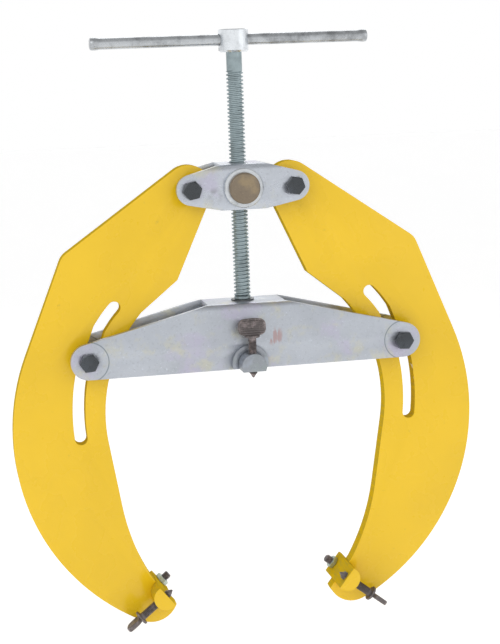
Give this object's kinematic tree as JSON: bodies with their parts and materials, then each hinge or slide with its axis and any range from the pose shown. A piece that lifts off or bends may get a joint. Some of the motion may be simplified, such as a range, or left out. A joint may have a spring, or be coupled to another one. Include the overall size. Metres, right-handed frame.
{
  "type": "pipe alignment clamp",
  "caption": "Screw-operated pipe clamp: a lead screw spreads its bent yokes so that slotted curved arms swing onto a pipe held at adjustable thumb screws.",
  "frame": {"origin": "axis of the gripped pipe, midway through the arm plates", "axes": "+Z along the lead screw towards the handle, +X towards the right arm, +Y towards the back, away from the bolt heads"},
  "size_m": [0.5424, 0.1114, 0.6833],
  "materials": {
    "arm_enamel": "glossy yellow enamel over flame-cut steel plate",
    "bar_enamel": "glossy yellow enamel over half-round steel bar",
    "yoke_zinc": "clear zinc plate with faint coloured mottling",
    "bar_zinc": "clear zinc plate",
    "trunnion_bronze": "dull brown bronze, turned",
    "bush_bronze": "sintered bronze",
    "ring_zinc": "clear zinc plate, turned",
    "screw_zinc": "zinc plate over rolled thread",
    "handle_steel": "bright plated steel",
    "thumb_black": "black oxide over forged steel",
    "contact_dark": "black oxide",
    "washer_steel": "plain zinc plate",
    "collar_steel": "plain turned steel",
    "fastener_zinc": "greenish clear zinc plate"
  },
  "bodies": {
    "lower_yoke": {"lower_yoke": "yoke_zinc", "centre_contact_bar": "bar_zinc", "centre_bar_rings": "bar_zinc", "centre_fixed_contact": "contact_dark", "centre_jam_nut": "fastener_zinc", "left_slot_bolt": "fastener_zinc", "right_slot_bolt": "fastener_zinc", "left_slot_lock_nut": "fastener_zinc", "right_slot_lock_nut": "fastener_zinc", "left_slot_spacers": "washer_steel", "right_slot_spacers": "washer_steel", "upper_thrust_washer": "washer_steel", "lower_thrust_washer": "washer_steel"},
    "screw": {"lead_screw": "screw_zinc", "handle_hub": "handle_steel", "hub_pin": "collar_steel", "retaining_collar": "collar_steel", "collar_pin": "collar_steel"},
    "handle": {"handle_bar": "handle_steel"},
    "upper_yoke": {"upper_yoke": "yoke_zinc", "trunnion_nut": "trunnion_bronze", "front_trunnion_ring": "ring_zinc", "rear_trunnion_ring": "ring_zinc", "left_pivot_bolt": "fastener_zinc", "right_pivot_bolt": "fastener_zinc", "left_pivot_lock_nut": "fastener_zinc", "right_pivot_lock_nut": "fastener_zinc", "left_pivot_spacers": "washer_steel", "right_pivot_spacers": "washer_steel"},
    "right_arm": {"right_arm": "arm_enamel", "right_pivot_bush": "bush_bronze", "right_contact_bar": "bar_enamel", "right_fixed_contact": "contact_dark", "right_jam_nut": "fastener_zinc"},
    "left_arm": {"left_arm": "arm_enamel", "left_pivot_bush": "bush_bronze", "left_contact_bar": "bar_enamel", "left_fixed_contact": "contact_dark", "left_jam_nut": "fastener_zinc"},
    "right_thumb": {"right_thumb_screw": "thumb_black"},
    "left_thumb": {"left_thumb_screw": "thumb_black"},
    "centre_thumb": {"centre_thumb_screw": "thumb_black"}
  },
  "joints": [
    {"name": "screw_turn", "type": "hinge", "parent": "lower_yoke", "child": "screw", "pos_m": [0, 0, 0.3], "axis": [0, 0, -1], "range_deg": [-3826.8, 680.3]},
    {"name": "yoke_travel", "type": "slide", "parent": "lower_yoke", "child": "upper_yoke", "axis": [0, 0, 1], "range_m": [-0.0452, 0.0082]},
    {"name": "right_arm_swing", "type": "hinge", "parent": "upper_yoke", "child": "right_arm", "pos_m": [0.059, 0, 0.358], "axis": [0, 1, 0], "range_deg": [-5.99, 1.11]},
    {"name": "left_arm_swing", "type": "hinge", "parent": "upper_yoke", "child": "left_arm", "pos_m": [-0.059, 0, 0.358], "axis": [0, -1, 0], "range_deg": [-5.99, 1.11]},
    {"name": "handle_bar_slide", "type": "slide", "parent": "screw", "child": "handle", "axis": [1, 0, 0], "range_m": [-0.125, 0.13]},
    {"name": "right_thumb_feed", "type": "slide", "parent": "right_arm", "child": "right_thumb", "axis": [-0.7826, 0, 0.6225], "range_m": [-0.008, 0.012]},
    {"name": "left_thumb_feed", "type": "slide", "parent": "left_arm", "child": "left_thumb", "axis": [0.7826, 0, 0.6225], "range_m": [-0.008, 0.012]},
    {"name": "centre_thumb_feed", "type": "slide", "parent": "lower_yoke", "child": "centre_thumb", "axis": [0, 0, -1], "range_m": [-0.008, 0.016]}
  ],
  "couplings": [
    {"joint": "yoke_travel", "follows": "screw_turn", "m_per_rad": 0.00067376},
    {"joint": "right_arm_swing", "follows": "screw_turn", "ratio": 0.0015522},
    {"joint": "left_arm_swing", "follows": "screw_turn", "ratio": 0.0015522}
  ]
}
